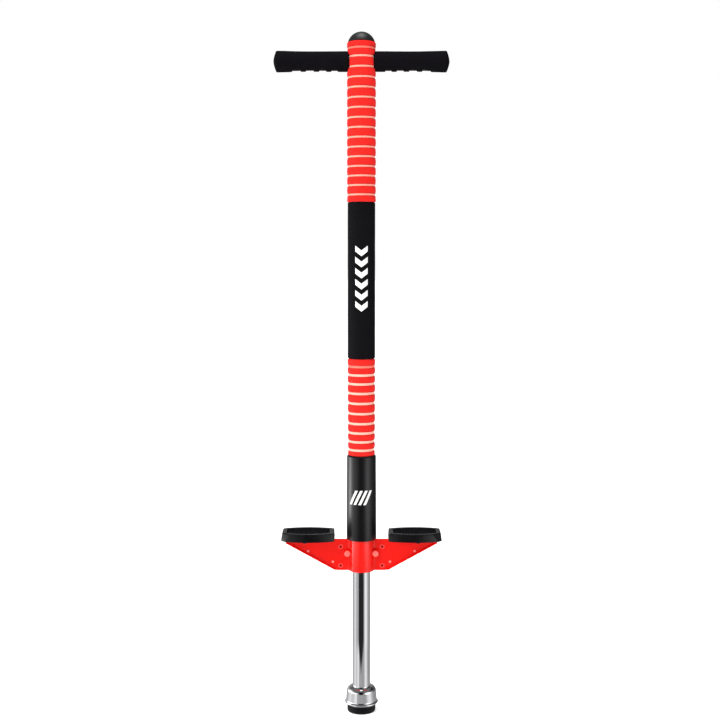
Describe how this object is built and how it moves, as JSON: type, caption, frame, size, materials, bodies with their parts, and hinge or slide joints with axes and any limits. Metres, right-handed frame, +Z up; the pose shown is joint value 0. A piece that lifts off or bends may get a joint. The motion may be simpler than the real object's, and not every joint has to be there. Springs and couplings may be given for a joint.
{
  "type": "pogo stick",
  "caption": "Spring pogo stick with a foam-covered steel column, a straight handlebar, a riveted foot bracket with rubber pads, and a sliding chrome piston with a rubber foot.",
  "frame": {"origin": "on the column's axis, on the plane that the rubber foot stands on", "axes": "+Z up the column, +X along the handlebar to the right, +Y away from the rider"},
  "size_m": [0.2406, 0.053, 0.9505],
  "materials": {
    "red_foam": "matte closed-cell foam with cream grooves",
    "black_foam": "matte closed-cell foam",
    "black_plastic": "satin moulded plastic",
    "black_fittings": "matte moulded plastic",
    "black_rubber": "matte moulded rubber",
    "white_nylon": "moulded nylon",
    "red_paint": "gloss powder coat",
    "plain_steel": "bare welded tube",
    "zinc_steel": "zinc plated",
    "spring_steel": "oiled spring wire",
    "chrome": "bright chrome plate"
  },
  "bodies": {
    "frame": {"barrel_sleeve": "black_plastic", "bracket_bolt_left": "red_paint", "bracket_bolt_right": "red_paint", "bracket_front": "red_paint", "bracket_nut_left": "red_paint", "bracket_nut_right": "red_paint", "bracket_rear": "red_paint", "bushing_pin_front": "zinc_steel", "bushing_pin_rear": "zinc_steel", "centre_foam_sleeve": "black_foam", "eyelet_left_lower": "red_paint", "eyelet_left_upper": "red_paint", "eyelet_right_lower": "red_paint", "eyelet_right_upper": "red_paint", "foot_pad_left": "black_rubber", "foot_pad_right": "black_rubber", "grip_left": "black_foam", "grip_right": "black_foam", "guide_bushing": "white_nylon", "handlebar_pin": "zinc_steel", "handlebar_plug_left": "black_fittings", "handlebar_plug_right": "black_fittings", "handlebar_tube": "plain_steel", "lower_foam_sleeve": "red_foam", "main_tube": "plain_steel", "pad_screw_left_front": "black_fittings", "pad_screw_left_rear": "black_fittings", "pad_screw_right_front": "black_fittings", "pad_screw_right_rear": "black_fittings", "rivet_left_inner": "zinc_steel", "rivet_left_outer": "zinc_steel", "rivet_right_inner": "zinc_steel", "rivet_right_outer": "zinc_steel", "seat_pin": "zinc_steel", "spring": "spring_steel", "spring_seat": "black_fittings", "top_cap": "black_plastic", "upper_foam_sleeve": "red_foam"},
    "plunger": {"piston_tube": "chrome", "piston_head": "white_nylon", "rebound_bumper": "black_rubber", "foot_ferrule": "chrome", "ferrule_pin": "chrome", "rubber_foot": "black_rubber"}
  },
  "joints": [
    {"name": "piston_slide", "type": "slide", "parent": "frame", "child": "plunger", "axis": [0, 0, 1], "range_m": [0, 0.12], "stiffness_N_per_m": 10000, "springref_m": -0.02, "deforming": ["spring"]}
  ]
}
